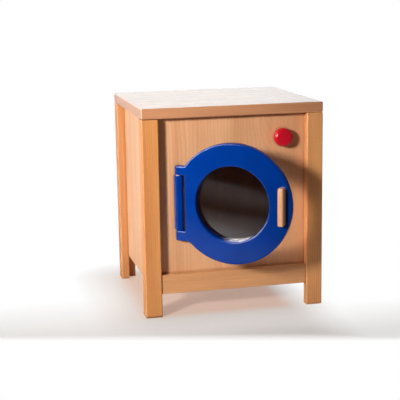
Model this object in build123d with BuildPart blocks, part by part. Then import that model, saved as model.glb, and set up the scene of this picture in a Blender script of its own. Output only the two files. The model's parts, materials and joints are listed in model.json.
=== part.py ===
from build123d import *
from math import cos, radians, sin, sqrt
import os

# A child's play washing machine: a beech cabinet on four rebated legs, a round door that hangs
# on a wooden knuckle, a see-through pane behind the door ring, and a knob that turns.
# Millimetres. +Z is up, the door side faces -Y, and the origin is on the floor under the
# middle of the cabinet. The door is drawn where it stands: a little ajar.

# ---- Driving dimensions -------------------------------------------------------------------

width = 440.0
depth = 400.0
height = 500.0
edge_radius = 3.0
soft_edge = 1.5

plate_thickness = 25.0

leg_size = 40.0
leg_rebate = 20.0

panel_thickness = 10.0
panel_bottom = 64.0

rail_bottom = 56.0
rail_height = 46.0
rail_setback = 3.0
rail_end_gap = 0.5

batten_size = 20.0
batten_end_gap = 10.0
floor_batten_bottom = 66.0
floor_thickness = 10.0
floor_edge_gap = 0.5

door_ajar = 33.0
door_height = 279.0
door_thickness = 18.0
door_radius = 142.5
door_edge_radius = 2.5
window_radius = 89.0
hinge_to_door_centre = 133.0
hinge_to_notch = 17.4
ear_end = 7.5
ear_end_radius = 7.0
ear_top_height = 84.5
ear_bottom_height = -94.5
ear_bottom_blend = 18.0

hinge_standoff = 10.0
knuckle_length = 130.0
knuckle_drop = 3.5
knuckle_outboard = 9.5
knuckle_inboard = 9.5
knuckle_front = 11.0
knuckle_nose_radius = 6.4
ear_gap = 1.4

pin_radius = 3.0
pin_in_knuckle = 20.0
pin_recess = 2.0
pin_chamfer = 0.5
bush_radius = 4.5
bush_length = 22.0
bush_flange_radius = 6.0
bush_flange_thickness = 1.0

panel_opening_radius = 117.5

pane_radius = 102.5
pane_thickness = 3.0
pane_edge_chamfer = 0.5
pane_screw_circle = 96.0
pane_screw_count = 6

handle_offset = 121.3
handle_rise = 3.0
handle_width = 14.0
handle_depth = 21.0
handle_length = 88.0
handle_edge_radius = 3.5
handle_end_radius = 3.0
handle_screw_spacing = 56.0

magnet_offset = 130.0
magnet_radius = 6.0
magnet_thickness = 4.0
strike_radius = 7.0
strike_thickness = 2.0
strike_proud = 0.5

knob_inset = 57.0
knob_drop = 57.0
knob_radius = 22.0
knob_base_radius = 19.5
knob_base_height = 5.0
knob_length = 20.5
knob_rim_radius = 7.5
knob_dome = 1.2
knob_washer_radius = 14.0
knob_washer_thickness = 1.0
knob_bolt_radius = 3.0
knob_bolt_in_knob = 13.0
knob_bush_radius = 4.5
inner_washer_radius = 9.0
inner_washer_thickness = 1.5
knob_nut_size = 5.5
knob_nut_thickness = 6.0
knob_bolt_end = 2.0

dowel_radius = 4.0
leg_dowel_in_leg = 18.0
leg_dowel_in_plate = 12.0
rail_dowel_in_rail = 15.0
rail_dowel_in_leg = 12.0
rail_dowel_spacing = 22.0
dowel_end_room = 1.0

screw_radius = 1.75
screw_head_radius = 3.5
screw_tip = 3.0
small_screw_radius = 1.5
small_screw_head_radius = 3.0
small_screw_head_height = 2.0
small_screw_length = 12.0
panel_screw_inset = 6.0
panel_screw_length = 24.0
panel_screw_spacing = 150.0
knuckle_screw_length = 26.0
knuckle_screw_spacing = 30.0
handle_screw_length = 32.0
batten_screw_length = 27.0
batten_screw_spacing = 200.0
top_screw_length = 34.0
top_screw_spacing = 240.0
floor_screw_length = 24.0
floor_screw_spacing = 250.0

hole_gap = 0.05
running_gap = 0.05
press_gap = 0.01

# ---- Places worked out from them -------------------------------------------------------------

front_y = -depth / 2
leg_height = height - plate_thickness
panel_front_y = front_y + leg_rebate
panel_inner_y = panel_front_y + panel_thickness
panel_outer_x = width / 2 - leg_rebate
panel_inner_x = panel_outer_x - panel_thickness
leg_inner_x = width / 2 - leg_size
panel_height = leg_height - panel_bottom
rail_thickness = leg_rebate - rail_setback

knob_x = leg_inner_x - knob_inset
knob_height = leg_height - knob_drop
knob_centre = (knob_x, panel_front_y, knob_height)

hinge_x = -hinge_to_door_centre
hinge_y = panel_front_y - hinge_standoff
knuckle_height = door_height - knuckle_drop
knuckle_top = knuckle_height + knuckle_length / 2
knuckle_bottom = knuckle_height - knuckle_length / 2
knuckle_x = hinge_x + (knuckle_inboard - knuckle_outboard) / 2
knuckle_width = knuckle_outboard + knuckle_inboard
knuckle_depth = knuckle_front + hinge_standoff

door_along = (cos(radians(door_ajar)), -sin(radians(door_ajar)), 0)
door_out = (-sin(radians(door_ajar)), -cos(radians(door_ajar)), 0)
door_middle = Plane(origin=(hinge_x, hinge_y, door_height), x_dir=door_along, z_dir=door_out)
door_back = door_middle.offset(-door_thickness / 2)
door_front = door_middle.offset(door_thickness / 2)
door_out_axis = Axis(door_middle.origin, door_out)
door_along_axis = Axis(door_middle.origin, door_along)

parts_folder = "parts"
os.makedirs(parts_folder, exist_ok=True)


def save(piece, name):
    """Label a finished piece and write it to its own STEP file."""
    piece.label = name
    export_step(piece, os.path.join(parts_folder, name + ".step"))


def mirrored(x, y):
    """The four places that mirror one point to the cabinet's corners."""
    return [(sx * x, sy * y) for sx in (-1, 1) for sy in (-1, 1)]


def spaced(count, spacing):
    """Places along a line, centred on nought."""
    return [(i - (count - 1) / 2) * spacing for i in range(count)]


def facing(origin, direction):
    """A plane at a point, with its normal along a direction."""
    return Plane(origin=origin, z_dir=direction)


# ---- Fasteners -----------------------------------------------------------------------------


def countersunk_screw(length, radius, head_radius, gap=0.0):
    """A wood screw: its flat head lies on its own XY plane and its shank runs down -Z."""
    outer = radius + gap
    head = head_radius + gap
    with BuildPart() as screw:
        with BuildSketch(Plane.XZ):
            with BuildLine():
                Polyline(
                    (0, 0),
                    (head, 0),
                    (outer, outer - head),
                    (outer, screw_tip - length),
                    (0, -length - gap),
                    close=True,
                )
            make_face()
        revolve(axis=Axis.Z)
    return screw.part


def round_head_screw(length, radius, head_radius, head_height):
    """A small screw with a domed head that stands on its own XY plane."""
    dome_radius = (head_radius**2 + head_height**2) / (2 * head_height)
    with BuildPart() as screw:
        with BuildSketch(Plane.XZ):
            with BuildLine():
                Polyline((head_radius, 0), (radius, 0), (radius, screw_tip - length), (0, -length))
                Line((0, -length), (0, head_height))
                RadiusArc((0, head_height), (head_radius, 0), dome_radius)
            make_face()
        revolve(axis=Axis.Z)
    return screw.part


def screw_group(places, screw):
    """Identical screws, one at each place."""
    with BuildPart() as group:
        with Locations(*places):
            add(screw)
    return group.part


front_panel_screw_places = []
back_panel_screw_places = []
for side in (-1, 1):
    for lift in spaced(3, panel_screw_spacing):
        x = side * (leg_inner_x + panel_screw_inset)
        z = panel_bottom + panel_height / 2 + lift
        front_panel_screw_places.append(facing((x, panel_inner_y, z), (0, 1, 0)))
        back_panel_screw_places.append(facing((x, -panel_inner_y, z), (0, -1, 0)))

knuckle_screw_places = []
for lift in spaced(3, knuckle_screw_spacing):
    origin = (knuckle_x, panel_inner_y, knuckle_height + lift)
    knuckle_screw_places.append(facing(origin, (0, 1, 0)))

panel_screw = countersunk_screw(panel_screw_length, screw_radius, screw_head_radius)
panel_screw_hole = countersunk_screw(panel_screw_length, screw_radius, screw_head_radius, hole_gap)
save(screw_group(front_panel_screw_places, panel_screw), "front_panel_screws")
save(screw_group(back_panel_screw_places, panel_screw), "back_panel_screws")

knuckle_screw = countersunk_screw(knuckle_screw_length, screw_radius, screw_head_radius)
knuckle_screw_hole = countersunk_screw(knuckle_screw_length, screw_radius, screw_head_radius, hole_gap)
save(screw_group(knuckle_screw_places, knuckle_screw), "knuckle_screws")

# ---- Top plate -----------------------------------------------------------------------------

leg_dowel_x = width / 2 - leg_rebate / 2
leg_dowel_y = depth / 2 - leg_rebate / 2
batten_x = panel_inner_x - batten_size / 2
top_screw_places = []
batten_screw_places = []
floor_screw_places = []
top_batten_bottom = leg_height - batten_size
floor_top = floor_batten_bottom + batten_size + floor_thickness
for side in (-1, 1):
    for y in spaced(2, top_screw_spacing):
        origin = (side * batten_x, y, top_batten_bottom)
        top_screw_places.append(facing(origin, (0, 0, -1)))
    for y in spaced(2, floor_screw_spacing):
        floor_screw_places.append(facing((side * batten_x, y, floor_top), (0, 0, 1)))
    for y in spaced(2, batten_screw_spacing):
        for z in (top_batten_bottom + batten_size / 2, floor_batten_bottom + batten_size / 2):
            origin = (side * (panel_inner_x - batten_size), y, z)
            batten_screw_places.append(facing(origin, (-side, 0, 0)))

top_screw = countersunk_screw(top_screw_length, screw_radius, screw_head_radius)
top_screw_hole = countersunk_screw(top_screw_length, screw_radius, screw_head_radius, hole_gap)
batten_screw = countersunk_screw(batten_screw_length, screw_radius, screw_head_radius)
batten_screw_hole = countersunk_screw(batten_screw_length, screw_radius, screw_head_radius, hole_gap)
floor_screw = countersunk_screw(floor_screw_length, screw_radius, screw_head_radius)
floor_screw_hole = countersunk_screw(floor_screw_length, screw_radius, screw_head_radius, hole_gap)
save(screw_group(top_screw_places, top_screw), "top_plate_screws")
save(screw_group(batten_screw_places, batten_screw), "batten_screws")
save(screw_group(floor_screw_places, floor_screw), "floor_screws")

with BuildPart() as top_plate:
    with BuildSketch(Plane.XY.offset(leg_height)):
        Rectangle(width, depth)
    extrude(amount=plate_thickness)
    fillet(top_plate.edges(), edge_radius)
    with BuildSketch(Plane.XY.offset(leg_height)):
        with Locations(*mirrored(leg_dowel_x, leg_dowel_y)):
            Circle(dowel_radius + hole_gap)
    extrude(amount=leg_dowel_in_plate + dowel_end_room, mode=Mode.SUBTRACT)
    with Locations(*top_screw_places):
        add(top_screw_hole, mode=Mode.SUBTRACT)
save(top_plate.part, "top_plate")

with BuildPart() as leg_dowels:
    with BuildSketch(Plane.XY.offset(leg_height - leg_dowel_in_leg)):
        with Locations(*mirrored(leg_dowel_x, leg_dowel_y)):
            Circle(dowel_radius)
    extrude(amount=leg_dowel_in_leg + leg_dowel_in_plate)
save(leg_dowels.part, "leg_dowels")

# ---- Front rail and its dowels ---------------------------------------------------------------

rail_y = panel_front_y - rail_thickness / 2
rail_half = leg_inner_x - rail_end_gap
rail_dowel_heights = [rail_bottom + rail_height / 2 + z for z in spaced(2, rail_dowel_spacing)]
rail_dowel_points = [(rail_y, z) for z in rail_dowel_heights]

with BuildPart() as front_rail:
    with BuildSketch(Plane.XZ.offset(-panel_front_y)):
        with Locations((0, rail_bottom + rail_height / 2)):
            Rectangle(2 * rail_half, rail_height)
    extrude(amount=rail_thickness)
    fillet(front_rail.edges().filter_by(Axis.Y), soft_edge)
    fillet(front_rail.faces().sort_by(Axis.Y)[0].edges(), soft_edge)
    for side in (-1, 1):
        with BuildSketch(Plane.YZ.offset(side * rail_half)):
            with Locations(*rail_dowel_points):
                Circle(dowel_radius + hole_gap)
        extrude(amount=-side * (rail_dowel_in_rail + dowel_end_room), mode=Mode.SUBTRACT)
save(front_rail.part, "front_rail")

with BuildPart() as rail_dowels:
    for side in (-1, 1):
        with BuildSketch(Plane.YZ.offset(side * (rail_half - rail_dowel_in_rail))):
            with Locations(*rail_dowel_points):
                Circle(dowel_radius)
        extrude(amount=side * (rail_dowel_in_rail + rail_end_gap + rail_dowel_in_leg))
save(rail_dowels.part, "rail_dowels")

# ---- Legs: square posts with a rebate for the panels -----------------------------------------


def leg(name, side, end):
    """One leg. side is -1 on the left and 1 on the right, end is -1 at the front and 1 at the back."""
    centre_x = side * (width - leg_size) / 2
    centre_y = end * (depth - leg_size) / 2
    rebate_x = centre_x - side * (leg_size - leg_rebate) / 2
    rebate_y = centre_y - end * (leg_size - leg_rebate) / 2
    places = front_panel_screw_places if end < 0 else back_panel_screw_places
    with BuildPart() as post:
        with BuildSketch():
            with Locations((centre_x, centre_y)):
                Rectangle(leg_size, leg_size)
            with Locations((rebate_x, rebate_y)):
                Rectangle(leg_rebate, leg_rebate, mode=Mode.SUBTRACT)
        extrude(amount=leg_height)
        uprights = post.edges().filter_by(Axis.Z)
        outer = uprights.filter_by(
            lambda e: abs(e.center().X) > leg_dowel_x or abs(e.center().Y) > leg_dowel_y
        )
        fillet(outer, edge_radius)
        fillet(post.faces().sort_by(Axis.Z)[0].edges(), soft_edge)
        rebate_corner = (side * panel_outer_x, end * -panel_front_y, leg_height)
        top_edges = post.faces().sort_by(Axis.Z)[-1].edges().sort_by_distance(rebate_corner)
        fillet(top_edges[2:], edge_radius)
        with BuildSketch(Plane.XY.offset(leg_height)):
            with Locations((side * leg_dowel_x, end * leg_dowel_y)):
                Circle(dowel_radius + hole_gap)
        extrude(amount=-leg_dowel_in_leg - dowel_end_room, mode=Mode.SUBTRACT)
        if end < 0:
            with BuildSketch(Plane.YZ.offset(side * leg_inner_x)):
                with Locations(*rail_dowel_points):
                    Circle(dowel_radius + hole_gap)
            extrude(amount=side * (rail_dowel_in_leg + dowel_end_room), mode=Mode.SUBTRACT)
        with Locations(*places):
            add(panel_screw_hole, mode=Mode.SUBTRACT)
    save(post.part, name)


leg("leg_front_left", -1, -1)
leg("leg_front_right", 1, -1)
leg("leg_back_left", -1, 1)
leg("leg_back_right", 1, 1)

# ---- Panels ----------------------------------------------------------------------------------

with BuildPart() as front_panel:
    with BuildSketch(Plane.XZ.offset(-panel_inner_y)):
        with Locations((0, panel_bottom + panel_height / 2)):
            Rectangle(2 * panel_outer_x, panel_height)
        with Locations((0, door_height)):
            Circle(panel_opening_radius, mode=Mode.SUBTRACT)
        with Locations((knob_x, knob_height)):
            Circle(knob_bush_radius + press_gap, mode=Mode.SUBTRACT)
    extrude(amount=panel_thickness)
    opening_edges = front_panel.edges().filter_by(GeomType.CIRCLE)
    fillet(opening_edges.sort_by(SortBy.RADIUS)[-2:], soft_edge)
    with BuildSketch(Plane.XZ.offset(-panel_front_y)):
        with Locations((magnet_offset, door_height)):
            Circle(strike_radius + hole_gap)
    extrude(amount=-(strike_thickness - strike_proud), mode=Mode.SUBTRACT)
    with Locations(*front_panel_screw_places):
        add(panel_screw_hole, mode=Mode.SUBTRACT)
    with Locations(*knuckle_screw_places):
        add(knuckle_screw_hole, mode=Mode.SUBTRACT)
save(front_panel.part, "front_panel")

with BuildPart() as back_panel:
    with BuildSketch(Plane.XZ.offset(panel_inner_y)):
        with Locations((0, panel_bottom + panel_height / 2)):
            Rectangle(2 * panel_outer_x, panel_height)
    extrude(amount=-panel_thickness)
    with Locations(*back_panel_screw_places):
        add(panel_screw_hole, mode=Mode.SUBTRACT)
save(back_panel.part, "back_panel")

for name, side in (("side_panel_left", -1), ("side_panel_right", 1)):
    with BuildPart() as side_panel:
        with BuildSketch(Plane.YZ.offset(side * panel_inner_x)):
            with Locations((0, panel_bottom + panel_height / 2)):
                Rectangle(-2 * panel_inner_y, panel_height)
        extrude(amount=side * panel_thickness)
        with Locations(*batten_screw_places):
            add(batten_screw_hole, mode=Mode.SUBTRACT)
    save(side_panel.part, name)

# ---- Inner floor and the battens that carry it and the top -------------------------------------

batten_length = 2 * (-panel_inner_y - batten_end_gap)
for name, side, bottom in (
    ("top_batten_left", -1, top_batten_bottom),
    ("top_batten_right", 1, top_batten_bottom),
    ("floor_batten_left", -1, floor_batten_bottom),
    ("floor_batten_right", 1, floor_batten_bottom),
):
    with BuildPart() as batten:
        with BuildSketch(Plane.XY.offset(bottom)):
            with Locations((side * batten_x, 0)):
                Rectangle(batten_size, batten_length)
        extrude(amount=batten_size)
        open_side = batten.faces().sort_by(Axis.X)[0 if side > 0 else -1]
        fillet(open_side.edges().filter_by(Axis.Y), soft_edge)
        with Locations(*batten_screw_places):
            add(batten_screw_hole, mode=Mode.SUBTRACT)
        with Locations(*top_screw_places):
            add(top_screw_hole, mode=Mode.SUBTRACT)
        with Locations(*floor_screw_places):
            add(floor_screw_hole, mode=Mode.SUBTRACT)
    save(batten.part, name)

with BuildPart() as floor_panel:
    with BuildSketch(Plane.XY.offset(floor_batten_bottom + batten_size)):
        Rectangle(2 * (panel_inner_x - floor_edge_gap), 2 * (-panel_inner_y - floor_edge_gap))
    extrude(amount=floor_thickness)
    with Locations(*floor_screw_places):
        add(floor_screw_hole, mode=Mode.SUBTRACT)
save(floor_panel.part, "floor_panel")

# ---- Hinge: a fixed wooden knuckle, two pins and two flanged bushes ----------------------------

with BuildPart() as hinge_knuckle:
    with BuildSketch(Plane.XY.offset(knuckle_bottom)):
        with Locations((knuckle_x, panel_front_y - knuckle_depth / 2)):
            Rectangle(knuckle_width, knuckle_depth)
    extrude(amount=knuckle_length)
    nose = hinge_knuckle.edges().filter_by(Axis.Z).group_by(Axis.Y)[0]
    fillet(nose, knuckle_nose_radius)
    fillet(hinge_knuckle.faces().sort_by(Axis.Z)[-1].edges().sort_by(Axis.Y)[:-1], soft_edge)
    fillet(hinge_knuckle.faces().sort_by(Axis.Z)[0].edges().sort_by(Axis.Y)[:-1], soft_edge)
    for level, inward in ((knuckle_top, -1), (knuckle_bottom, 1)):
        with BuildSketch(Plane.XY.offset(level)):
            with Locations((hinge_x, hinge_y)):
                Circle(bush_radius + press_gap)
        extrude(amount=inward * (bush_length + dowel_end_room), mode=Mode.SUBTRACT)
    with Locations(*knuckle_screw_places):
        add(knuckle_screw_hole, mode=Mode.SUBTRACT)
save(hinge_knuckle.part, "hinge_knuckle")

ear_top_level = door_height + ear_top_height
ear_bottom_level = door_height + ear_bottom_height
for name, level, outward, ear_level in (
    ("upper", knuckle_top, 1, ear_top_level),
    ("lower", knuckle_bottom, -1, ear_bottom_level),
):
    with BuildPart() as hinge_bush:
        with BuildSketch(Plane.XY.offset(level)):
            with Locations((hinge_x, hinge_y)):
                Circle(bush_flange_radius)
        extrude(amount=outward * bush_flange_thickness)
        with BuildSketch(Plane.XY.offset(level)):
            with Locations((hinge_x, hinge_y)):
                Circle(bush_radius)
        extrude(amount=-outward * bush_length)
        with BuildSketch(Plane.XY.offset(level + outward * bush_flange_thickness)):
            with Locations((hinge_x, hinge_y)):
                Circle(pin_radius + running_gap)
        extrude(amount=-outward * (bush_flange_thickness + bush_length), mode=Mode.SUBTRACT)
    save(hinge_bush.part, "hinge_bush_" + name)

    pin_outer = ear_level - outward * pin_recess
    with BuildPart() as hinge_pin:
        with BuildSketch(Plane.XY.offset(level - outward * pin_in_knuckle)):
            with Locations((hinge_x, hinge_y)):
                Circle(pin_radius)
        extrude(amount=pin_outer - level + outward * pin_in_knuckle)
        chamfer(hinge_pin.edges().filter_by(GeomType.CIRCLE), pin_chamfer)
    save(hinge_pin.part, "hinge_pin_" + name)

# ---- Door ring: a disc with a window, and a flange sawn into two ears round the knuckle --------

ear_top_inner = knuckle_top + ear_gap - door_height
ear_bottom_inner = knuckle_bottom - ear_gap - door_height
flange_height = ear_top_height - ear_bottom_height
flange_length = hinge_to_door_centre + ear_end
notch_length = ear_end + hinge_to_notch
door_centre = (hinge_to_door_centre, 0)

handle_screw_places = []
for lift in spaced(2, handle_screw_spacing):
    along = hinge_to_door_centre + handle_offset
    origin = door_back.from_local_coords((along, handle_rise + lift, 0))
    handle_screw_places.append(Plane(origin=origin, z_dir=-door_middle.z_dir))
handle_screw = countersunk_screw(handle_screw_length, screw_radius, screw_head_radius)
handle_screw_hole = countersunk_screw(handle_screw_length, screw_radius, screw_head_radius, hole_gap)
save(screw_group(handle_screw_places, handle_screw), "handle_screws")

pane_screw_places = []
for turn in range(pane_screw_count):
    angle = radians(360 / pane_screw_count * turn)
    along = hinge_to_door_centre + pane_screw_circle * cos(angle)
    origin = door_back.from_local_coords((along, pane_screw_circle * sin(angle), -pane_thickness))
    pane_screw_places.append(Plane(origin=origin, z_dir=-door_middle.z_dir))
pane_screw = round_head_screw(
    small_screw_length, small_screw_radius, small_screw_head_radius, small_screw_head_height
)
pane_screw_hole = round_head_screw(
    small_screw_length + hole_gap,
    small_screw_radius + hole_gap,
    small_screw_head_radius,
    small_screw_head_height,
)
save(screw_group(pane_screw_places, pane_screw), "pane_screws")

with BuildPart() as door_ring:
    with BuildSketch(door_back):
        with Locations(door_centre):
            Circle(door_radius)
        with Locations((-ear_end, ear_bottom_height)):
            Rectangle(flange_length, flange_height, align=(Align.MIN, Align.MIN))
        with Locations((-2 * ear_end, ear_bottom_inner)):
            Rectangle(
                notch_length + ear_end,
                ear_top_inner - ear_bottom_inner,
                align=(Align.MIN, Align.MIN),
                mode=Mode.SUBTRACT,
            )
        with Locations(door_centre):
            Circle(window_radius, mode=Mode.SUBTRACT)
    extrude(amount=door_thickness)
    corner_x = hinge_to_door_centre - sqrt(door_radius**2 - ear_bottom_height**2)
    corner = door_middle.from_local_coords((corner_x, ear_bottom_height, 0))
    through_edges = door_ring.edges().filter_by(door_out_axis)
    fillet(through_edges.sort_by_distance(corner)[0], ear_bottom_blend)
    ear_end_edges = door_ring.edges().filter_by(Axis.Z).group_by(door_along_axis)[0]
    fillet(ear_end_edges, ear_end_radius)
    front_face = door_ring.faces().sort_by(door_out_axis)[-1]
    ear_tangents = front_face.edges().filter_by(Axis.Z).group_by(door_along_axis)[0]
    fillet(front_face.edges() - ear_tangents, door_edge_radius)
    for level, reach in ((ear_top_height, ear_top_inner), (ear_bottom_height, ear_bottom_inner)):
        with BuildSketch(Plane.XY.offset(door_height + level)):
            with Locations((hinge_x, hinge_y)):
                Circle(pin_radius + press_gap)
        extrude(amount=reach - level, mode=Mode.SUBTRACT)
    with BuildSketch(door_back):
        with Locations((hinge_to_door_centre + magnet_offset, 0)):
            Circle(magnet_radius + press_gap)
    extrude(amount=magnet_thickness, mode=Mode.SUBTRACT)
    with Locations(*handle_screw_places):
        add(handle_screw_hole, mode=Mode.SUBTRACT)
    with Locations(*pane_screw_places):
        add(pane_screw_hole, mode=Mode.SUBTRACT)
save(door_ring.part, "door_ring")

# ---- Pane and its screws, behind the ring ------------------------------------------------------

with BuildPart() as window_pane:
    with BuildSketch(door_back):
        with Locations(door_centre):
            Circle(pane_radius)
            with PolarLocations(pane_screw_circle, pane_screw_count):
                Circle(small_screw_radius + hole_gap, mode=Mode.SUBTRACT)
    extrude(amount=-pane_thickness)
    rims = window_pane.edges().filter_by(GeomType.CIRCLE).sort_by(SortBy.RADIUS)[-2:]
    chamfer(rims, pane_edge_chamfer)
save(window_pane.part, "window_pane")

with BuildPart() as door_magnet:
    with BuildSketch(door_back):
        with Locations((hinge_to_door_centre + magnet_offset, 0)):
            Circle(magnet_radius)
    extrude(amount=magnet_thickness)
save(door_magnet.part, "door_magnet")

with BuildPart() as strike_plate:
    with BuildSketch(Plane.XZ.offset(-panel_front_y + strike_proud)):
        with Locations((magnet_offset, door_height)):
            Circle(strike_radius)
    extrude(amount=-strike_thickness)
    chamfer(strike_plate.edges().filter_by(GeomType.CIRCLE).sort_by(Axis.Y)[0], strike_proud / 2)
save(strike_plate.part, "strike_plate")

# ---- Handle ------------------------------------------------------------------------------------

with BuildPart() as door_handle:
    with BuildSketch(door_front):
        with Locations((hinge_to_door_centre + handle_offset, handle_rise)):
            Rectangle(handle_width, handle_length)
    extrude(amount=handle_depth)
    nose = door_handle.faces().sort_by(door_out_axis)[-1]
    fillet(nose.edges().filter_by(Axis.Z), handle_edge_radius)
    ends = door_handle.faces().filter_by(Axis.Z)
    fillet(ends.edges() - door_handle.faces().sort_by(door_out_axis)[0].edges(), handle_end_radius)
    with Locations(*handle_screw_places):
        add(handle_screw_hole, mode=Mode.SUBTRACT)
save(door_handle.part, "door_handle")

# ---- Knob: turned wood on a bolt that runs in a bush in the panel --------------------------------

knob_section = Plane(origin=knob_centre, x_dir=(1, 0, 0), z_dir=(0, 0, -1))
knob_axis = Axis(knob_centre, (0, -1, 0))
knob_front_plane = Plane.XZ.offset(-panel_front_y)
knob_back_plane = Plane.XZ.offset(-panel_inner_y)
knob_base = knob_washer_thickness + running_gap
knob_top = knob_base + knob_length

with BuildPart() as knob:
    with BuildSketch(knob_section) as knob_half:
        with BuildLine():
            outline = Polyline(
                (0, knob_top + knob_dome),
                (0, knob_base + knob_bolt_in_knob),
                (knob_bolt_radius + press_gap, knob_base + knob_bolt_in_knob),
                (knob_bolt_radius + press_gap, knob_base),
                (knob_base_radius, knob_base),
                (knob_radius, knob_base + knob_base_height),
                (knob_radius, knob_top),
            )
            dome_radius = (knob_radius**2 + knob_dome**2) / (2 * knob_dome)
            RadiusArc(outline @ 1, outline @ 0, -dome_radius)
        make_face()
        rim = knob_half.vertices().group_by(Axis.X)[-1].sort_by(Axis.Y)
        fillet(rim[-1], knob_rim_radius)
        fillet(rim[0], soft_edge)
    revolve(axis=knob_axis)
save(knob.part, "knob")

bolt_length = knob_base + knob_bolt_in_knob + panel_thickness + inner_washer_thickness
bolt_length = bolt_length + running_gap + knob_nut_thickness + knob_bolt_end
with BuildPart() as knob_bolt:
    with BuildSketch(knob_front_plane.offset(knob_base + knob_bolt_in_knob)):
        with Locations((knob_x, knob_height)):
            Circle(knob_bolt_radius)
    extrude(amount=-bolt_length)
    chamfer(knob_bolt.edges().filter_by(GeomType.CIRCLE), pin_chamfer)
save(knob_bolt.part, "knob_bolt")

with BuildPart() as knob_washer:
    with BuildSketch(knob_front_plane):
        with Locations((knob_x, knob_height)):
            Circle(knob_washer_radius)
            Circle(knob_bolt_radius + running_gap, mode=Mode.SUBTRACT)
    extrude(amount=knob_washer_thickness)
save(knob_washer.part, "knob_washer")

with BuildPart() as knob_bush:
    with BuildSketch(knob_back_plane):
        with Locations((knob_x, knob_height)):
            Circle(knob_bush_radius)
            Circle(knob_bolt_radius + running_gap, mode=Mode.SUBTRACT)
    extrude(amount=panel_thickness)
save(knob_bush.part, "knob_bush")

with BuildPart() as inner_washer:
    with BuildSketch(knob_back_plane.offset(-running_gap)):
        with Locations((knob_x, knob_height)):
            Circle(inner_washer_radius)
            Circle(knob_bolt_radius + press_gap, mode=Mode.SUBTRACT)
    extrude(amount=-inner_washer_thickness)
save(inner_washer.part, "knob_inner_washer")

with BuildPart() as knob_nut:
    with BuildSketch(knob_back_plane.offset(-running_gap - inner_washer_thickness)):
        with Locations((knob_x, knob_height)):
            RegularPolygon(knob_nut_size, 6, major_radius=False)
            Circle(knob_bolt_radius + press_gap, mode=Mode.SUBTRACT)
    extrude(amount=-knob_nut_thickness)
save(knob_nut.part, "knob_nut")
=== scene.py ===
# %% [markdown]
# # A wooden play washing machine
# The cabinet, the round door and the knob come from the construction model, so this lesson is
# about finish and light: oiled beech, glossy lacquer, a clear pane, small steel and nylon parts,
# and the bright studio in which the toy stands. Lengths are in metres.

# %% Load the model
import json
from collections import namedtuple
from math import cos, pi, radians, sin

import bmesh
import bpy
from mathutils import Matrix, Vector


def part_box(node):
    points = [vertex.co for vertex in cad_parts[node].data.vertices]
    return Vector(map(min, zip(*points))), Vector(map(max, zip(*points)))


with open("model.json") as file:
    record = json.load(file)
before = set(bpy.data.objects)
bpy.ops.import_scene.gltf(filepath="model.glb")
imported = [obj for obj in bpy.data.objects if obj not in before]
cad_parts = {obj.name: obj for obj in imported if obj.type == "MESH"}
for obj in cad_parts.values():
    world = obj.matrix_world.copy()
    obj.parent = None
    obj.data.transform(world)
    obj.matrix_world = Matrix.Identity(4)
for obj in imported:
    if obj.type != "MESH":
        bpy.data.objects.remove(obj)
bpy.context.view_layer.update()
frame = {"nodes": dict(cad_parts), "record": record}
print("pieces in the model:", len(frame["nodes"]))

# %% [markdown]
# ## Measures taken from the model
# The lamps are aimed from the cabinet's own box, so that they stay right when the model is
# changed.

# %% Measures
plate_low, plate_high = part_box("top_plate")
cabinet_width = plate_high.x - plate_low.x
cabinet_depth = plate_high.y - plate_low.y
cabinet_height = plate_high.z
cabinet_front = plate_low.y
print("cabinet:", round(cabinet_width, 3), round(cabinet_depth, 3), round(cabinet_height, 3))

# %% [markdown]
# ## Colours
# A colour listed here is an sRGB value from 0 to 255, but a shader works in linear light. The
# helper `paint` turns the one into the other, so the lists below can be read like paint charts.


# %% Colour helper
def paint(red, green, blue):
    """An sRGB colour from 0 to 255 as the linear colour that a shader takes."""
    def linear(value):
        share = value / 255
        return share / 12.92 if share <= 0.04045 else ((share + 0.055) / 1.055) ** 2.4
    return (linear(red), linear(green), linear(blue), 1.0)


print("a middle grey of 128 is", round(paint(128, 128, 128)[0], 3), "in linear light")

# %% [markdown]
# ## Small tools for node materials
# A finish is a node tree. It could be wired by hand in the Shader Editor, but written out it can
# be made again for each board. `plug` fills a node's inputs: it links a socket, and sets anything
# else as the value. `add_node` makes a node and plugs it in at once. `new_material` gives an
# empty tree with one Principled shader.


# %% Trees and nodes
def plug(tree, node, inputs):
    """Link the sockets among inputs and set the other values, by input name or number."""
    for socket, value in inputs.items():
        if isinstance(value, bpy.types.NodeSocket):
            tree.links.new(value, node.inputs[socket])
        else:
            node.inputs[socket].default_value = value


def add_node(tree, kind, inputs=None, **settings):
    """A node of that kind, with its settings made and its inputs plugged in."""
    node = tree.nodes.new("ShaderNode" + kind)
    for setting, value in settings.items():
        setattr(node, setting, value)
    plug(tree, node, inputs or {})
    return node


def new_material(name):
    """A material with an empty tree that ends in one Principled shader."""
    material = bpy.data.materials.new(name)
    material.use_nodes = True
    tree = material.node_tree
    tree.nodes.clear()
    output = tree.nodes.new("ShaderNodeOutputMaterial")
    shader = tree.nodes.new("ShaderNodeBsdfPrincipled")
    tree.links.new(shader.outputs["BSDF"], output.inputs["Surface"])
    return material, tree, shader


# %% [markdown]
# ## Numbers and colours in a tree
# These are short names for the nodes that come up again and again. Most of a finish is a chain
# of them: a pattern gives a number at each place, `span` picks out the part of it that matters,
# and `mix_colour` turns that into colour.


# %% Numbers and colours
def maths(tree, operation, *values):
    """A Math node over its values or sockets."""
    return add_node(tree, "Math", dict(enumerate(values)), operation=operation).outputs[0]


def vector_maths(tree, operation, *values):
    """A Vector Math node. A dot product and a length come out as a plain value."""
    node = add_node(tree, "VectorMath", dict(enumerate(values)), operation=operation)
    return node.outputs["Value" if operation in ("DOT_PRODUCT", "LENGTH") else "Vector"]


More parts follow.
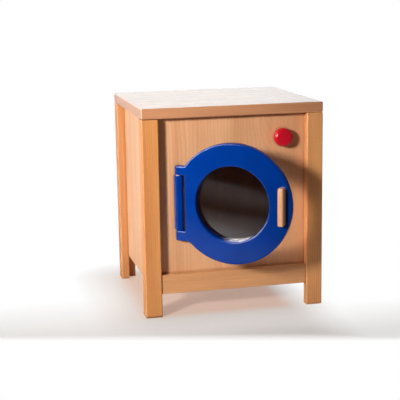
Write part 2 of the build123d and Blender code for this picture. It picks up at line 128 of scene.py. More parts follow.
def span(tree, value, low, high, to_low, to_high):
    """value from low to high, turned into to_low to to_high and kept between them."""
    node = add_node(tree, "MapRange", {0: value, 1: low, 2: high, 3: to_low, 4: to_high})
    return node.outputs["Result"]


def ramp(tree, factor, stops):
    """A colour ramp over factor, with its stops as (place, colour)."""
    node = add_node(tree, "ValToRGB", {"Fac": factor})
    elements = node.color_ramp.elements
    while len(elements) < len(stops):
        elements.new(0.5)
    for element, (place, colour) in zip(elements, stops):
        element.position = place
        element.color = colour
    return node.outputs["Color"]


def mix_colour(tree, factor, first, second):
    """first turned towards second by factor."""
    # A Mix node has its colours at inputs 6 and 7 and the mixed one at output 2.
    return add_node(tree, "Mix", {0: factor, 6: first, 7: second}, data_type="RGBA").outputs[2]


# %% [markdown]
# ## Patterns
# Every pattern starts from Object coordinates, so it has a real size in metres and stays on the
# piece from any side. An image could give more, but noise can be stretched along the grain of
# each board and looks as sharp from near as from far. `bump` turns a pattern into a slight
# relief.


# %% Patterns
def object_place(tree):
    """The place on the piece, in Object coordinates."""
    return add_node(tree, "TexCoord").outputs["Object"]


def stretched(tree, place, scale, turn=(0.0, 0.0, 0.0), shift=(0.0, 0.0, 0.0)):
    """A place turned, stretched and shifted, for a pattern with a direction."""
    inputs = {"Vector": place, "Rotation": turn, "Scale": scale, "Location": shift}
    return add_node(tree, "Mapping", inputs).outputs["Vector"]


def noise(tree, place, scale, detail, roughness=0.5):
    """The grey value of a noise pattern, about scale features to a metre."""
    inputs = {"Vector": place, "Scale": scale, "Detail": detail, "Roughness": roughness}
    return add_node(tree, "TexNoise", inputs).outputs["Fac"]


def streaks(tree, place, scale, detail, roughness=0.5, turn=(0.0, 0.0, 0.0)):
    """A noise pattern with a scale of its own along each axis, and so with a direction."""
    return noise(tree, stretched(tree, place, scale, turn), 1.0, detail, roughness)


def bump(tree, strength, distance, height, normal=None):
    """A normal that is tilted as if height, 0 to 1, were a relief as deep as distance."""
    inputs = {"Strength": strength, "Distance": distance, "Height": height}
    if normal is not None:
        inputs["Normal"] = normal
    return add_node(tree, "Bump", inputs).outputs["Normal"]


# %% [markdown]
# ## Where hands have been, and painted shade
# Wear and shade follow the shape of a thing, so they need masks that know the shape. Along an
# edge, the normal that a Bevel node smooths differs from the real one: that mask gives rubbed
# edges, and on lacquer a painted highlight. In a narrow corner, the Ambient Occlusion node finds
# other surfaces near by: that mask gives painted shade. Both could be painted by hand, but then
# they would have to be painted again after each change to the model.


# %% Masks
def edge_mask(tree, radius, strength):
    """Nearly nought on the flats and up to strength along edges: rubbed edges, and on lacquer a
    painted highlight.
    """
    # The cosine between the piece's own normal and one that is smoothed over the edges.
    rounded = add_node(tree, "Bevel", {"Radius": radius}, samples=4).outputs["Normal"]
    flat = add_node(tree, "NewGeometry").outputs["Normal"]
    return span(tree, vector_maths(tree, "DOT_PRODUCT", rounded, flat), 0.98, 0.80, 0.0, strength)


def corner_shade_mask(tree, reach, closed, strength):
    """Painted shade, up to strength in the narrow corners where two pieces meet, as far as reach.
    """
    # Openness is 1 where nothing is near and falls as other surfaces close in.
    inputs = {"Distance": reach}
    openness = add_node(tree, "AmbientOcclusion", inputs, samples=8).outputs["AO"]
    return span(tree, openness, closed, 0.96, strength, 0.0)


# %% [markdown]
# ## Oiled beech
# Beech is a pale, even wood, warmed by oil to a light orange. What the eye takes for one tone is
# four patterns on top of each other: broad soft bands across the board, the thin darker lines of
# its growth rings, hair-fine pores along the grain, and short flecks, its best known mark. A
# photograph could be wrapped round the pieces, but then every board would be the same: built
# from noise that is stretched along the grain, each leg and panel gets its own figure. The grain
# runs the way a joiner would lay it, so the material is made once for each direction and tone.

# %% Measures of the beech
GRAIN_TURNS = {"X": (0.0, pi / 2, 0.0), "Y": (pi / 2, 0.0, 0.0), "Z": (0.0, 0.0, 0.0)}
BAND_SCALE = (17.0, 17.0, 1.3)
SWAY_SCALE = (11.0, 11.0, 1.6)
FADE_SCALE = (9.0, 9.0, 2.5)
PORE_SCALE = (420.0, 420.0, 9.0)
FLECK_SCALE = (700.0, 700.0, 110.0)
RING_SWAY = 5.0           # how many spacings a growth line wanders to the side
PAINTED_SHADE_SHARE = 0.6          # how far the board is darkened towards the right, a painted shade
PORE_SHARE = 0.30         # how far a pore turns dark
FLECK_PER_GRIT = 2.2      # how strong the flecks are, against the grit
FLECK_SHADE = (0.55, 0.45, 0.40, 1.0)
WORN_SHARE = 0.30
WORN_LIFT = 1.12
WORN_RADIUS = 0.0018
# the colour and reach of the painted shade in narrow corners
PAINTED_CORNER_SHADE = (0.22, 0.16, 0.12, 1.0)
CORNER_SHADE_REACH = 0.007
BEECH_RELIEF = 0.0003
print("pores to a metre across the grain:", PORE_SCALE[0], "and along it:", PORE_SCALE[2])

# %% [markdown]
# ## Growth lines
# A board cut straight through a trunk shows even upright lines, and one cut off its middle shows
# them leaning over. A Wave texture gives even lines too, but not lines that darken slowly and
# end sharply, as a year's ring does. So the place across the board is counted in spacings, and
# what is left over after the whole ones gives the tone.

# %% Growth lines
# Where growth lines lean over: between two places across the board they start to slope, and
# they fade by as much as they slope, while the board is darkened there, a painted shade. The
# pivot is the height at which they stay in place.
Bend = namedtuple("Bend", "start end slope pivot")
STRAIGHT = Bend(0.0, 1.0, 0.0, 0.0)


def growth_lines(tree, place, across, spacing, bend):
    """Thin lines along the grain, 0 between them and 1 on them."""
    side, front, height = add_node(tree, "SeparateXYZ", {0: place}).outputs
    slope = span(tree, across, bend.start, bend.end, 0.0, bend.slope)
    slant = maths(tree, "MULTIPLY", slope, maths(tree, "SUBTRACT", height, bend.pivot))
    distance = maths(tree, "ADD", maths(tree, "ADD", side, front), slant)
    drift = streaks(tree, place, SWAY_SCALE, 2.0)
    count = maths(tree, "DIVIDE", distance, spacing)
    saw = maths(tree, "FRACT", maths(tree, "MULTIPLY_ADD", drift, RING_SWAY, count))
    rise = span(tree, saw, 0.35, 0.90, 0.0, 1.0)
    fall = span(tree, saw, 0.90, 1.0, 1.0, 0.0)
    return maths(tree, "MULTIPLY", rise, fall)


# %% [markdown]
# ## The beech put together
# The recipe lays one thin tone over another, as a painter glazes: bands, growth lines, pores and
# flecks. One picture with everything in it would be quicker to render, but here each layer can be
# made weaker or stronger for one board. Where growth lines lean over, the board is darkened, a
# painted shade. The two masks go on top. Edges that hands have rubbed are a little paler. The
# narrow corners where two boards meet are darker, a painted shade from the Ambient Occlusion
# node: that thin dark line is what tells the leg from the top above it.


# %% Beech recipe
def shaded(colour, shares):
    """A colour with each of its channels turned down to a share of it."""
    return tuple(channel * share for channel, share in zip(colour, shares))


def beech(name, light, dark, grain, spacing, lines, gloss, shift=(0.0, 0.0, 0.0), bend=STRAIGHT,
          coat=0.0, shade_closed=0.40, shade_share=0.45, grit=0.10):
    """Oiled beech between two paints. spacing is how far apart its growth lines are and lines how
    dark they are. gloss is its roughness, and shift another place in the same pattern. The shade
    values say how narrow a corner gets painted shade and how dark that is, and grit is how rough
    the wood is along its pores and flecks."""
    light, dark = paint(*light), paint(*dark)
    material, tree, shader = new_material(name)
    along = stretched(tree, object_place(tree), (1.0, 1.0, 1.0), GRAIN_TURNS[grain], shift)
    across = add_node(tree, "SeparateXYZ", {0: along}).outputs[0]

    bands = span(tree, streaks(tree, along, BAND_SCALE, 3.0, 0.55), 0.30, 0.70, 0.0, 1.0)
    rings = growth_lines(tree, along, across, spacing, bend)
    fading = streaks(tree, along, FADE_SCALE, 1.0)
    rings = maths(tree, "MULTIPLY", rings, span(tree, fading, 0.35, 0.62, 0.15, 1.0))
    kept = span(tree, across, bend.start, bend.end, 1.0, 1.0 - bend.slope)
    rings = maths(tree, "MULTIPLY", rings, kept)
    # painted shade: the board is darkened towards the right, where its lines lean over
    painted_shade = span(tree, across, bend.start, bend.end, 0.0, PAINTED_SHADE_SHARE * bend.slope)
    pores = streaks(tree, along, PORE_SCALE, 2.0, 0.6)
    flecks = streaks(tree, along, FLECK_SCALE, 1.0)
    flecks = span(tree, flecks, 0.62, 0.72, 0.0, FLECK_PER_GRIT * grit)

    middle = tuple(a * 0.55 + b * 0.45 for a, b in zip(light, dark))
    worn = tuple(min(1.0, channel * WORN_LIFT) for channel in light)
    colour = ramp(tree, bands, ((0.0, middle), (0.5, light), (1.0, middle)))
    for mask, tone in (
        (painted_shade, dark),
        (maths(tree, "MULTIPLY", rings, lines), dark),
        (span(tree, pores, 0.35, 0.75, 0.0, PORE_SHARE), dark),
        (flecks, shaded(dark, FLECK_SHADE)),
        (edge_mask(tree, WORN_RADIUS, WORN_SHARE), worn),
        # painted shade in narrow corners, where the Ambient Occlusion node finds other surfaces
        # near
        (corner_shade_mask(tree, CORNER_SHADE_REACH, shade_closed, shade_share), shaded(dark, PAINTED_CORNER_SHADE)),
    ):
        colour = mix_colour(tree, mask, colour, tone)

    relief = maths(tree, "SUBTRACT", maths(tree, "SUBTRACT", pores, flecks), rings)
    plug(tree, shader, {
        "Base Color": colour,
        "Roughness": span(tree, pores, 0.3, 0.7, gloss - 0.05, gloss + 0.07),
        "Normal": bump(tree, grit, BEECH_RELIEF, relief),
        "Specular IOR Level": 0.45,
        "Coat Weight": coat,
        "Coat Roughness": 0.30,
    })
    return material


# %% [markdown]
# ## The beech finishes
# The top and the rail lie on their side, the legs and panels stand up. The front panel is a
# paler, pinker veneer whose lines stand upright at the left and lean over at the right, where
# they fade, and there the board is darkened, a painted shade. The sides have a plainer, wider
# figure in a darker tone, which is painted shade against the stronger light on them. The legs
# are solid and more orange. The right front leg has a lighter tone, painted light where less
# light reaches it, and the back legs a darker one, painted shade. Only the top has a
# thin clear coat, which lets it go nearly white where it mirrors the wall.

# %% Beech finishes
BEECHES = {
    "beech_top": dict(
        name="beech of the top", light=(222, 160, 117), dark=(177, 110, 74), grain="X",
        spacing=0.006, lines=0.34, gloss=0.26, coat=0.35, grit=0.02),
    "beech_rail": dict(
        name="beech of the rail", light=(240, 178, 124), dark=(202, 134, 84), grain="X",
        spacing=0.008, lines=0.20, gloss=0.38, shift=(0.4, 0.1, 0.2)),
    "beech_leg": dict(
        name="beech of the legs", light=(240, 169, 101), dark=(188, 108, 54), grain="Z",
        spacing=0.0052, lines=0.36, gloss=0.38, shade_closed=0.62, shade_share=0.92),
    # painted light: a lighter copy of the leg beech, for the right front leg
    "beech_leg_right_painted_light": dict(
        name="beech of the right leg", light=(250, 182, 118), dark=(204, 126, 72), grain="Z",
        spacing=0.0058, lines=0.36, gloss=0.38, shift=(0.5, 0.2, 0.4), shade_share=0.30),
    # painted shade: a darker copy of the leg beech, for the back legs
    "beech_leg_back_painted_shade": dict(
        name="beech of the back legs", light=(220, 156, 101), dark=(180, 110, 66), grain="Z",
        spacing=0.0060, lines=0.36, gloss=0.38, shift=(0.1, 0.3, 0.5)),
    "beech_panel": dict(
        name="beech veneer of the panels", light=(246, 190, 144), dark=(202, 136, 90), grain="Z",
        spacing=0.0085, lines=0.36, gloss=0.38, bend=Bend(0.03, 0.14, 0.50, 0.47)),
    # painted shade: a darker tone for the sides, with a plainer, wider figure of their own
    "beech_side_painted_shade": dict(
        name="beech veneer of the sides", light=(234, 188, 148), dark=(198, 142, 98), grain="Z",
        spacing=0.0105, lines=0.30, gloss=0.38, shift=(0.2, 0.5, 0.1)),
    "beech_batten": dict(
        name="planed beech of the battens", light=(226, 186, 140), dark=(196, 148, 100),
        grain="Y", spacing=0.009, lines=0.20, gloss=0.55),
    "beech_dowel": dict(
        name="beech of the dowels", light=(228, 190, 146), dark=(200, 156, 110), grain="Z",
        spacing=0.004, lines=0.20, gloss=0.55),
    "beech_handle": dict(
        name="beech of the handle", light=(242, 181, 136), dark=(214, 150, 104), grain="Z",
        spacing=0.004, lines=0.25, gloss=0.34, shift=(0.3, 0.2, 0.0)),
}
finishes = {slot: beech(**recipe) for slot, recipe in BEECHES.items()}
print("beech finishes:", ", ".join(finishes))

# %% [markdown]
# ## Lacquer
# The door ring, its knuckle and the knob are wood under several coats of glossy lacquer. It is
# smooth and deep in colour, but not perfect: it keeps a faint trace of the grain and it has the
# soft dimples that a sprayed coat dries with. Along edges its colour is a little paler, a
# painted highlight. A clear coat over the coloured base gives the sharp highlight on top of the
# soft one. Thick lacquer also rounds an edge off, so a Bevel node feeds the normal, and a thin
# line of light runs round the ring and along the knuckle without a change to their shape.

# %% Lacquer recipe
PATCH_SCALE = 14.0
DIMPLE_SCALE = 260.0
TRACE_SCALE = (300.0, 300.0, 12.0)
TRACE_SHARE = 0.20
WIPE_SCALE = (60.0, 20.0, 9.0)
WIPE_TURN = (0.0, 0.5, 0.3)
HIGHLIGHT_RADIUS = 0.0016
HIGHLIGHT_SHARE = 0.55
ROUNDING = 0.0036
LACQUER_RELIEF = 0.0004
LACQUER_GRIT = 0.02


def lacquer(name, colour, deep, edge_highlight, level, coat):
    """Glossy lacquer: its colour, a deeper patchy tone, a painted highlight along edges, its
    gloss.
    """
    material, tree, shader = new_material(name)
    place = object_place(tree)
    blotch = span(tree, noise(tree, place, PATCH_SCALE, 3.0), 0.35, 0.65, 0.0, 1.0)
    tone = mix_colour(tree, blotch, paint(*colour), paint(*deep))
    # painted highlight: the colour turns paler along edges
    tone = mix_colour(tree, edge_mask(tree, HIGHLIGHT_RADIUS, HIGHLIGHT_SHARE), tone, paint(*edge_highlight))

    smears = streaks(tree, place, WIPE_SCALE, 4.0, 0.6, WIPE_TURN)
    dimples = noise(tree, place, DIMPLE_SCALE, 2.0)
    trace = streaks(tree, place, TRACE_SCALE, 2.0)
    relief = mix_colour(tree, TRACE_SHARE, dimples, trace)
    rounded = add_node(tree, "Bevel", {"Radius": ROUNDING}, samples=8).outputs["Normal"]
    normal = bump(tree, LACQUER_GRIT, LACQUER_RELIEF, relief, rounded)
    plug(tree, shader, {
        "Base Color": tone,
        "Roughness": span(tree, smears, 0.35, 0.75, 0.08, 0.15),
        "Normal": normal,
        "Coat Normal": normal,
        "Specular IOR Level": level,
        "Coat Weight": coat,
        "Coat Roughness": 0.04,
    })
    return material


finishes["blue_lacquer"] = lacquer(
    "blue lacquer", colour=(0, 57, 152), deep=(0, 52, 141), edge_highlight=(6, 70, 172),
    level=0.08, coat=0.10)
finishes["red_lacquer"] = lacquer(
    "red lacquer", colour=(220, 28, 48), deep=(206, 22, 42), edge_highlight=(234, 72, 78),
    level=0.10, coat=0.12)
print("lacquer rounds the edges off by", ROUNDING * 1000, "mm, to the eye")

# %% [markdown]
# ## The pane
# The window is a flat disc of lightly smoked plastic. It has to do three things: mirror the pale
# floor in front of it, show the dark inside of the cabinet, and let the lamp shine through it
# onto the front panel. Its smoke darkens the view through it far more than the lamp's light, a
# painted shade of the cabinet's inside. A plain glass shader does the first two, but the
# renderer would give it a black shadow. So a Light Path node swaps in a Transparent shader for
# shadow rays. A disc has two faces that mirror, which the coat stands for, and wiped plastic has
# faint smears, which come out in its roughness.

# %% Smoked plastic
SMEAR_SCALE = (9.0, 9.0, 26.0)
SMEAR_TURN = (0.4, 0.0, 0.7)
DUST_SCALE = (500.0, 500.0, 500.0)
DUST_RELIEF = 0.0002
DUST_GRIT = 0.015
# painted shade: the view through the pane is darker than the lamp's light through it
SMOKE_AND_SHADE = (0.34, 0.31, 0.31, 1.0)
SHADOW_TINT = (0.85, 0.84, 0.83, 1.0)


def mix_shader(tree, factor, first, second):
    """The first shader, turned into the second one by factor."""
    return add_node(tree, "MixShader", {0: factor, 1: first, 2: second}).outputs[0]


def end_with(tree, surface):
    """Let a material's tree end in surface and no longer in its Principled shader."""
    output = next(node for node in tree.nodes if node.type == "OUTPUT_MATERIAL")
    tree.links.new(surface, output.inputs["Surface"])


def smoked_plastic(name):
    """Lightly smoked, wiped plastic that lets lamps shine through. The view through it is darker
    than the light, a painted shade.
    """
    material, tree, shader = new_material(name)
    place = object_place(tree)
    smears = streaks(tree, place, SMEAR_SCALE, 5.0, 0.65, SMEAR_TURN)
    plug(tree, shader, {
        "Base Color": SMOKE_AND_SHADE,
        "Roughness": span(tree, smears, 0.40, 0.80, 0.015, 0.085),
        "Normal": bump(tree, DUST_GRIT, DUST_RELIEF, streaks(tree, place, DUST_SCALE, 1.0)),
        "Transmission Weight": 1.0,
        "IOR": 1.49,
        "Coat Weight": 0.8,
        "Coat Roughness": 0.03,
    })
    shadow = add_node(tree, "LightPath").outputs["Is Shadow Ray"]
    through = add_node(tree, "BsdfTransparent", {"Color": SHADOW_TINT}).outputs[0]
    end_with(tree, mix_shader(tree, shadow, shader.outputs[0], through))
    return material


finishes["smoked_plastic"] = smoked_plastic("smoked plastic of the pane")
print("the pane lets through", SHADOW_TINT[0], "of the lamp's red light")

# %% [markdown]
# ## Steel and nylon
# The screws, pins, bolt, nut, magnet and strike plate are zinc plated steel: bright, slightly
# blue, with a fine turned grain and a little dulling. The bushes and the knob's washer are white
# nylon, which is matt and faintly translucent to the eye.

# %% Steel and nylon
SCRATCH_SCALE = (2400.0, 300.0, 300.0)
SCRATCH_TURN = (0.3, 0.0, 0.0)
ZINC_SCALE = 180.0
NYLON_SCALE = 150.0
MOULD_SCALE = 1600.0
SMALL_EDGE = 0.0005
SMALL_RELIEF = 0.0001


def steel(name):
    """Zinc plated steel with fine scratches and dull patches."""
    material, tree, shader = new_material(name)
    place = object_place(tree)
    patches = noise(tree, place, ZINC_SCALE, 3.0)
    scratches = streaks(tree, place, SCRATCH_SCALE, 2.0, turn=SCRATCH_TURN)
    tone = mix_colour(tree, patches, paint(186, 190, 196), paint(158, 160, 164))
    tone = mix_colour(tree, edge_mask(tree, SMALL_EDGE, 0.6), tone, paint(216, 218, 222))
    plug(tree, shader, {
        "Base Color": tone,
        "Roughness": span(tree, patches, 0.3, 0.7, 0.26, 0.42),
        "Normal": bump(tree, 0.10, SMALL_RELIEF, scratches),
        "Metallic": 1.0,
    })
    return material


def nylon(name):
    """White moulded nylon."""
    material, tree, shader = new_material(name)
    place = object_place(tree)
    clouds = noise(tree, place, NYLON_SCALE, 2.0)
    tone = mix_colour(tree, clouds, paint(232, 230, 222), paint(216, 213, 204))
    tone = mix_colour(tree, edge_mask(tree, SMALL_EDGE, 0.5), tone, paint(242, 241, 236))
    plug(tree, shader, {
        "Base Color": tone,
        "Roughness": span(tree, clouds, 0.3, 0.7, 0.42, 0.55),
        "Normal": bump(tree, 0.08, SMALL_RELIEF, noise(tree, place, MOULD_SCALE, 1.0)),
        "Subsurface Weight": 0.05,
        "Subsurface Radius": (0.002, 0.002, 0.002),
    })
    return material


finishes["steel"] = steel("zinc plated steel")
finishes["nylon"] = nylon("white nylon")
print("finishes in all:", len(finishes))

# %% [markdown]
# ## Give every piece its finish
# The record says which finish each piece has, so one loop dresses the whole model. The sides and
# three of the legs get a tone of their own: painted shade on the sides and the back legs, painted
# light on the right front leg. Only the material slots change: the pieces stay where the model
# put them.

# %% Dress the pieces
finish_of = {part["node"]: part["material_slot"] for part in frame["record"]["subparts"]}
# painted shade on the sides and back legs, painted light on the right front leg
finish_of["side_panel_left"] = finish_of["side_panel_right"] = "beech_side_painted_shade"
finish_of["leg_back_left"] = finish_of["leg_back_right"] = "beech_leg_back_painted_shade"
finish_of["leg_front_right"] = "beech_leg_right_painted_light"
for name, piece in frame["nodes"].items():
    piece.data.materials.clear()
    piece.data.materials.append(finishes[finish_of[name]])
print("dressed:", len(finish_of))

# %% [markdown]
# ## Floor
# The toy stands on a plain pale board in a white studio. The camera sees the board fade into the
# white behind the toy, with its own soft shading kept close to the cabinet and a warm tint under
# it, painted bounce light from the wood. A little way in front, and far to the sides, the board
# turns white again. Gloss sees a different board: the door mirrors the part in front of the toy,
# in the bands that the window shows, and the left side of the cabinet mirrors the pale part
# behind. Two floors could be made, one hidden from each kind of ray, but one floor with a Light
# Path node that tells the rays apart is easier to keep in step.

# %% Floor sheet
FLOOR_SIZE = 9.0
FLOOR_CENTRE = (0.4, 2.2, 0.0)
mesh = bpy.data.meshes.new("studio floor")
sheet = bmesh.new()
bmesh.ops.create_grid(sheet, x_segments=1, y_segments=1, size=FLOOR_SIZE / 2)
bmesh.ops.translate(sheet, vec=FLOOR_CENTRE, verts=sheet.verts)
sheet.to_mesh(mesh)
sheet.free()
floor = bpy.data.objects.new("studio_floor", mesh)
bpy.context.scene.collection.objects.link(floor)
print("floor:", FLOOR_SIZE, "by", FLOOR_SIZE, "m")

# %% [markdown]
# ## The board as the camera sees it
# A photographer's white board is white because it is lit, but light on the board is light on the
# toy too. Here the board has a plain tone under the lamps, and an even white is mixed in where
# the picture has it. The shading stays where less of that white is mixed in: close to the toy
# and in front of it.

# %% Board for the camera
WHITE = (1.0, 1.0, 1.0, 1.0)
PAINTED_BOUNCE_TINT = (1.0, 0.63, 0.44, 1.0)
SHADE_MIDDLE = (-0.04, 0.0, 0.0)   # the middle of a box in which the board keeps its shading
SHADE_HALF_SIZE = (0.16, 0.18, 0.0)
FOOT_FADE = (-0.03, 0.04)          # the painted bounce tint at the foot ends between these distances from that box
FOOT_WHITE = (0.42, 0.26)          # the least white at the toy's foot, and away from it
RIGHT_FADE = (0.13, 0.24)          # at the toy's right more white comes in between these
RIGHT_WHITE = 0.34
BESIDE_FADE = (0.0, 0.15)          # the rest turns white between these distances from the box
BEHIND_FADE = (-0.42, 0.0)         # and between these places, from the front to the back
BEHIND_LEAST = 0.05
WHITE_SHARE = 0.74                 # how much white that is, on top of the least
AHEAD = (0.2758, 0.9612, 0.0)      # to the back, square to the line where the board ends
ASIDE = (0.9612, -0.2758, 0.0)     # to the right, along that line
FRONT_LINE = (-0.33, -0.41)        # in front of the toy the board turns white between these,
SIDE_LINE = (0.55, 1.0)            # and to both sides of it between these


def away_from_shade(tree, place):
    """How far a place on the floor is from the box of shade round the toy, 0 inside it."""
    away = vector_maths(tree, "ABSOLUTE", vector_maths(tree, "SUBTRACT", place, SHADE_MIDDLE))
    away = vector_maths(tree, "SUBTRACT", away, SHADE_HALF_SIZE)
    return vector_maths(tree, "LENGTH", vector_maths(tree, "MAXIMUM", away, (0.0, 0.0, 0.0)))


def whiteness(tree, place, right, back, away):
    """How much of the board has turned white for the camera, 0 to 1."""
    beside = span(tree, away, *BESIDE_FADE, 0.0, 1.0)
    behind = span(tree, back, *BEHIND_FADE, BEHIND_LEAST, 1.0)
    least = maths(tree, "ADD", span(tree, away, *FOOT_FADE, *FOOT_WHITE),
                  span(tree, right, *RIGHT_FADE, 0.0, RIGHT_WHITE))
    white = maths(tree, "MULTIPLY", beside, behind)
    white = maths(tree, "MULTIPLY_ADD", white, WHITE_SHARE, least)
    white = maths(tree, "MINIMUM", white, 1.0)
    ahead = vector_maths(tree, "DOT_PRODUCT", place, AHEAD)
    aside = maths(tree, "ABSOLUTE", vector_maths(tree, "DOT_PRODUCT", place, ASIDE))
    blank = maths(tree, "MAXIMUM", span(tree, ahead, *FRONT_LINE, 0.0, 1.0),
                  span(tree, aside, *SIDE_LINE, 0.0, 1.0))
    return maths(tree, "MAXIMUM", white, blank)


def glow(tree, colour, strength):
    """An even glow, whatever light falls on it."""
    return add_node(tree, "Emission", {"Color": colour, "Strength": strength}).outputs[0]


print("the board is white from", -FRONT_LINE[1], "m in front of the toy's middle")

# %% [markdown]
# ## The board as gloss sees it
# The window shows a pale patch at its foot and soft dark bands above it: what stands in front of
# the toy, mirrored. Cards could be stood there, but they would throw shadows and show from other
# sides. So the board glows in bands for glossy rays only, stronger at the left, and once more
# behind the toy at the left, for the sheen low on its side. Noise lets the bands wander a little.

# %% Board for gloss
# How bright the board is, by the distance behind (or, below nought, in front of) the toy's
# middle.
MIRRORED = ((-1.35, 0.02), (-1.28, 0.24), (-1.20, 0.26), (-1.02, 0.05), (-0.86, 0.48),
            (-0.66, 1.95), (-0.24, 1.95), (-0.10, 0.30))
WANDER = 0.30                      # how far the bands wander to and fro
WANDER_SCALE = 1.6
BAND_FADE = (-0.50, -0.20)         # to the right the bands drop, between these, to this share
BAND_SHARE = 0.35
PATCH_BACK = (0.1, 0.5)            # the patch behind the toy comes in between these,
PATCH_RIGHT = (-0.45, -0.30)       # ends to the right between these, and adds this much
PATCH_STRENGTH = 1.2


def grey(level):
    """A grey of that linear level."""
    return (level, level, level, 1.0)


def mirrored_board(tree, place, right, back):
    """The board as gloss sees it: bright in bands in front, and bright behind at the left."""
    edge = maths(tree, "MULTIPLY_ADD", noise(tree, place, WANDER_SCALE, 1.0), WANDER, back)
    low, high = MIRRORED[0][0], MIRRORED[-1][0]
    along = span(tree, edge, low + WANDER / 2, high + WANDER / 2, 0.0, 1.0)
    stops = [((y - low) / (high - low), grey(level)) for y, level in MIRRORED]
    bands = span(tree, right, *BAND_FADE, 1.0, BAND_SHARE)
    patch = maths(tree, "MULTIPLY", span(tree, back, *PATCH_BACK, 0.0, PATCH_STRENGTH),
                  span(tree, right, *PATCH_RIGHT, 1.0, 0.0))
    return glow(tree, ramp(tree, along, stops), maths(tree, "ADD", bands, patch))


def before_matt(tree, path, kind):
    """1 for rays of that kind that have met no matt surface yet, and 0 for all other rays."""
    straight = maths(tree, "LESS_THAN", path["Diffuse Depth"], 0.5)
    return maths(tree, "MULTIPLY", path[kind], straight)


print("bands that gloss sees:", len(MIRRORED))

# %% [markdown]
# ## The whole board
# The board's own tone comes first, a little uneven as a painted board is and tinted warm under
# the toy as painted bounce light, then the camera's white over it, and last the bands, in place
# of both, for gloss.

# %% Board finish
BOARD_SCALE = 3.0
floor_material, tree, shader = new_material("pale board")
place = object_place(tree)
right, back, _ = add_node(tree, "SeparateXYZ", {0: place}).outputs
away = away_from_shade(tree, place)
painted_bounce_end = span(tree, away, *FOOT_FADE, 0.0, 1.0)
clouds = noise(tree, place, BOARD_SCALE, 2.0)
board = mix_colour(tree, clouds, paint(236, 229, 223), paint(231, 223, 216))
# painted bounce light: the board is tinted warm under the toy
board = mix_colour(tree, painted_bounce_end, paint(244, 204, 176), board)
plug(tree, shader, {"Base Color": board, "Roughness": 0.7})

path = add_node(tree, "LightPath").outputs
white = whiteness(tree, place, right, back, away)
white = maths(tree, "MULTIPLY", white, path["Is Camera Ray"])
# painted bounce light: the white mixed in at the toy's foot is warm
blank = glow(tree, mix_colour(tree, painted_bounce_end, PAINTED_BOUNCE_TINT, WHITE), 1.0)
seen = mix_shader(tree, white, shader.outputs[0], blank)
mirrored = mirrored_board(tree, place, right, back)
in_gloss = before_matt(tree, path, "Is Glossy Ray")
end_with(tree, mix_shader(tree, in_gloss, seen, mirrored))
floor.data.materials.append(floor_material)
print("nodes in the board's finish:", len(tree.nodes))

# %% [markdown]
# ## Studio light
# One soft spot stands to the left in front, three metres away and low, so the open door throws a
# ring of shadow on the panel behind it. Its beam is aimed past the left leg and fades towards the
# right, as the pool of light in the picture does. A weak second spot, near the floor at the left,
# fills in the light that a white floor would throw up the side. Area lamps would be as soft, but
# a spot's beam has an edge, and the picture's light has one too.


# %% Lamps
def spot(name, azimuth, elevation, distance, radius, half_angle, squeeze, watts, colour, target):
    """A soft spot, placed by angles seen from its target. Its beam is squeezed sideways."""
    turn, lift = radians(azimuth), radians(elevation)
    outward = Vector((sin(turn) * cos(lift), -cos(turn) * cos(lift), sin(lift)))
    data = bpy.data.lights.new(name, "SPOT")
    data.spot_size = 2 * radians(half_angle)
    data.spot_blend = 1.0
    data.shadow_soft_size = radius
    data.energy = watts
    data.color = colour
    lamp = bpy.data.objects.new(name, data)
    lamp.matrix_world = (
        Matrix.Translation(target + outward * distance)
        @ outward.to_track_quat("Z", "Y").to_matrix().to_4x4()
        @ Matrix.Diagonal((squeeze, 1.0, 1.0, 1.0))
    )
    bpy.context.scene.collection.objects.link(lamp)
    print(name, "at", [round(value, 2) for value in lamp.matrix_world.translation])


spot("key lamp", azimuth=-48.0, elevation=16.5, distance=3.0, radius=0.26, half_angle=14.0,
     squeeze=0.76, watts=562.0, colour=(1.0, 0.975, 0.94),
     target=Vector((-cabinet_width * 0.60, cabinet_front + 0.05, cabinet_height - 0.01)))
spot("low fill", azimuth=-97.0, elevation=6.0, distance=2.0, radius=0.30, half_angle=9.0,
     squeeze=1.0, watts=42.0, colour=(1.0, 1.0, 0.98),
     target=Vector((-cabinet_width / 2, 0.08, 0.02)))

# %% [markdown]
# ## World
# Everything else comes from the world, which looks different to each kind of ray. A matt surface
# is lit by a soft dome behind and above the toy and by a light low behind it at the right. Gloss
# sees a dark room with a white wall behind the toy, a bright box at the left and a faint glow at
# the right. The camera sees plain white. One picture of a real studio could do all three, but
# here each part can be turned up or down by itself.

# %% Lights of the world
# Each light is the direction to its middle, the cosines at which it begins and is full, and its
# colour. A later one lies over the earlier ones.
AMBIENT = (0.070, 0.052, 0.042, 1.0)
MATT_LIGHTS = (
    ((0.62, 0.76, 0.24), 0.55, 0.92, (0.90, 0.85, 0.80, 1.0)),   # low behind at the right
    ((0.28, 0.70, 0.66), 0.30, 0.92, grey(0.66)),                # the dome
)
DARK_ROOM = grey(0.03)
GLOSS_LIGHTS = (
    ((0.90, 0.30, 0.30), 0.30, 0.80, grey(0.06)),                # the glow at the right
    ((-0.05, 0.97, 0.24), 0.80, 0.93, (1.52, 1.72, 1.78, 1.0)),  # the wall behind
    ((-0.90, -0.36, 0.24), 0.895, 0.95, grey(34.0)),             # the box at the left
)


def sky(tree, direction, colour, lights):
    """A plain colour all round with lights laid over it."""
    for axis, begins, full, light in lights:
        cosine = vector_maths(tree, "DOT_PRODUCT", direction, Vector(axis).normalized())
        colour = mix_colour(tree, span(tree, cosine, begins, full, 0.0, 1.0), colour, light)
    return colour


print("lights of the world:", len(MATT_LIGHTS), "on matt surfaces,", len(GLOSS_LIGHTS), "in gloss")

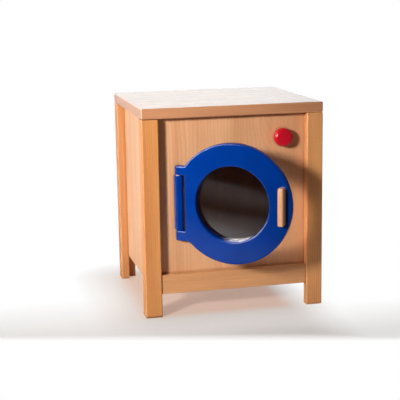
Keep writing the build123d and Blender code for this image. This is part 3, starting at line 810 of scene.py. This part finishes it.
# %% World
world = bpy.data.worlds.new("white studio")
bpy.context.scene.world = world
world.use_nodes = True
tree = world.node_tree
tree.nodes.clear()
output = tree.nodes.new("ShaderNodeOutputWorld")
direction = add_node(tree, "TexCoord").outputs["Generated"]
matt_sky = sky(tree, direction, AMBIENT, MATT_LIGHTS)
gloss_sky = sky(tree, direction, DARK_ROOM, GLOSS_LIGHTS)
path = add_node(tree, "LightPath").outputs
colour = mix_colour(tree, before_matt(tree, path, "Is Glossy Ray"), matt_sky, gloss_sky)
# The camera sees white, and so does a ray from it that goes on through the pane.
through = before_matt(tree, path, "Is Transmission Ray")
plain = maths(tree, "MAXIMUM", through, path["Is Camera Ray"])
colour = mix_colour(tree, plain, colour, WHITE)
light = add_node(tree, "Background", {"Color": colour, "Strength": 1.0})
tree.links.new(light.outputs[0], output.inputs["Surface"])
print("nodes in the world:", len(tree.nodes))

# %% [markdown]
# ## Camera
# The picture was taken from a little to the left of the front and from above the worktop, with a
# long lens. The lens and the place come from fitting the cabinet's corners in the picture.

# %% Camera
CAMERA_PLACE = (-0.6360, -2.5589, 0.7774)
CAMERA_YAW = 0.2296
CAMERA_PITCH = 0.2025
CAMERA_ROLL = 0.0162
CAMERA_LENS = 94.53
CAMERA_SENSOR = 36.0
camera_data = bpy.data.cameras.new("camera")
camera_data.sensor_width = CAMERA_SENSOR
camera_data.lens = CAMERA_LENS
camera = bpy.data.objects.new("camera", camera_data)
camera.matrix_world = (
    Matrix.Translation(CAMERA_PLACE)
    @ Matrix.Rotation(-CAMERA_YAW, 4, "Z")
    @ Matrix.Rotation(pi / 2 - CAMERA_PITCH, 4, "X")
    @ Matrix.Rotation(-CAMERA_ROLL, 4, "Z")
)
bpy.context.scene.collection.objects.link(camera)
bpy.context.scene.camera = camera
print("camera:", CAMERA_LENS, "mm lens")

# %% [markdown]
# ## Finish
# The Standard view transform shows each colour about as it is written.

# %% Finish
bpy.context.scene.view_settings.view_transform = "Standard"
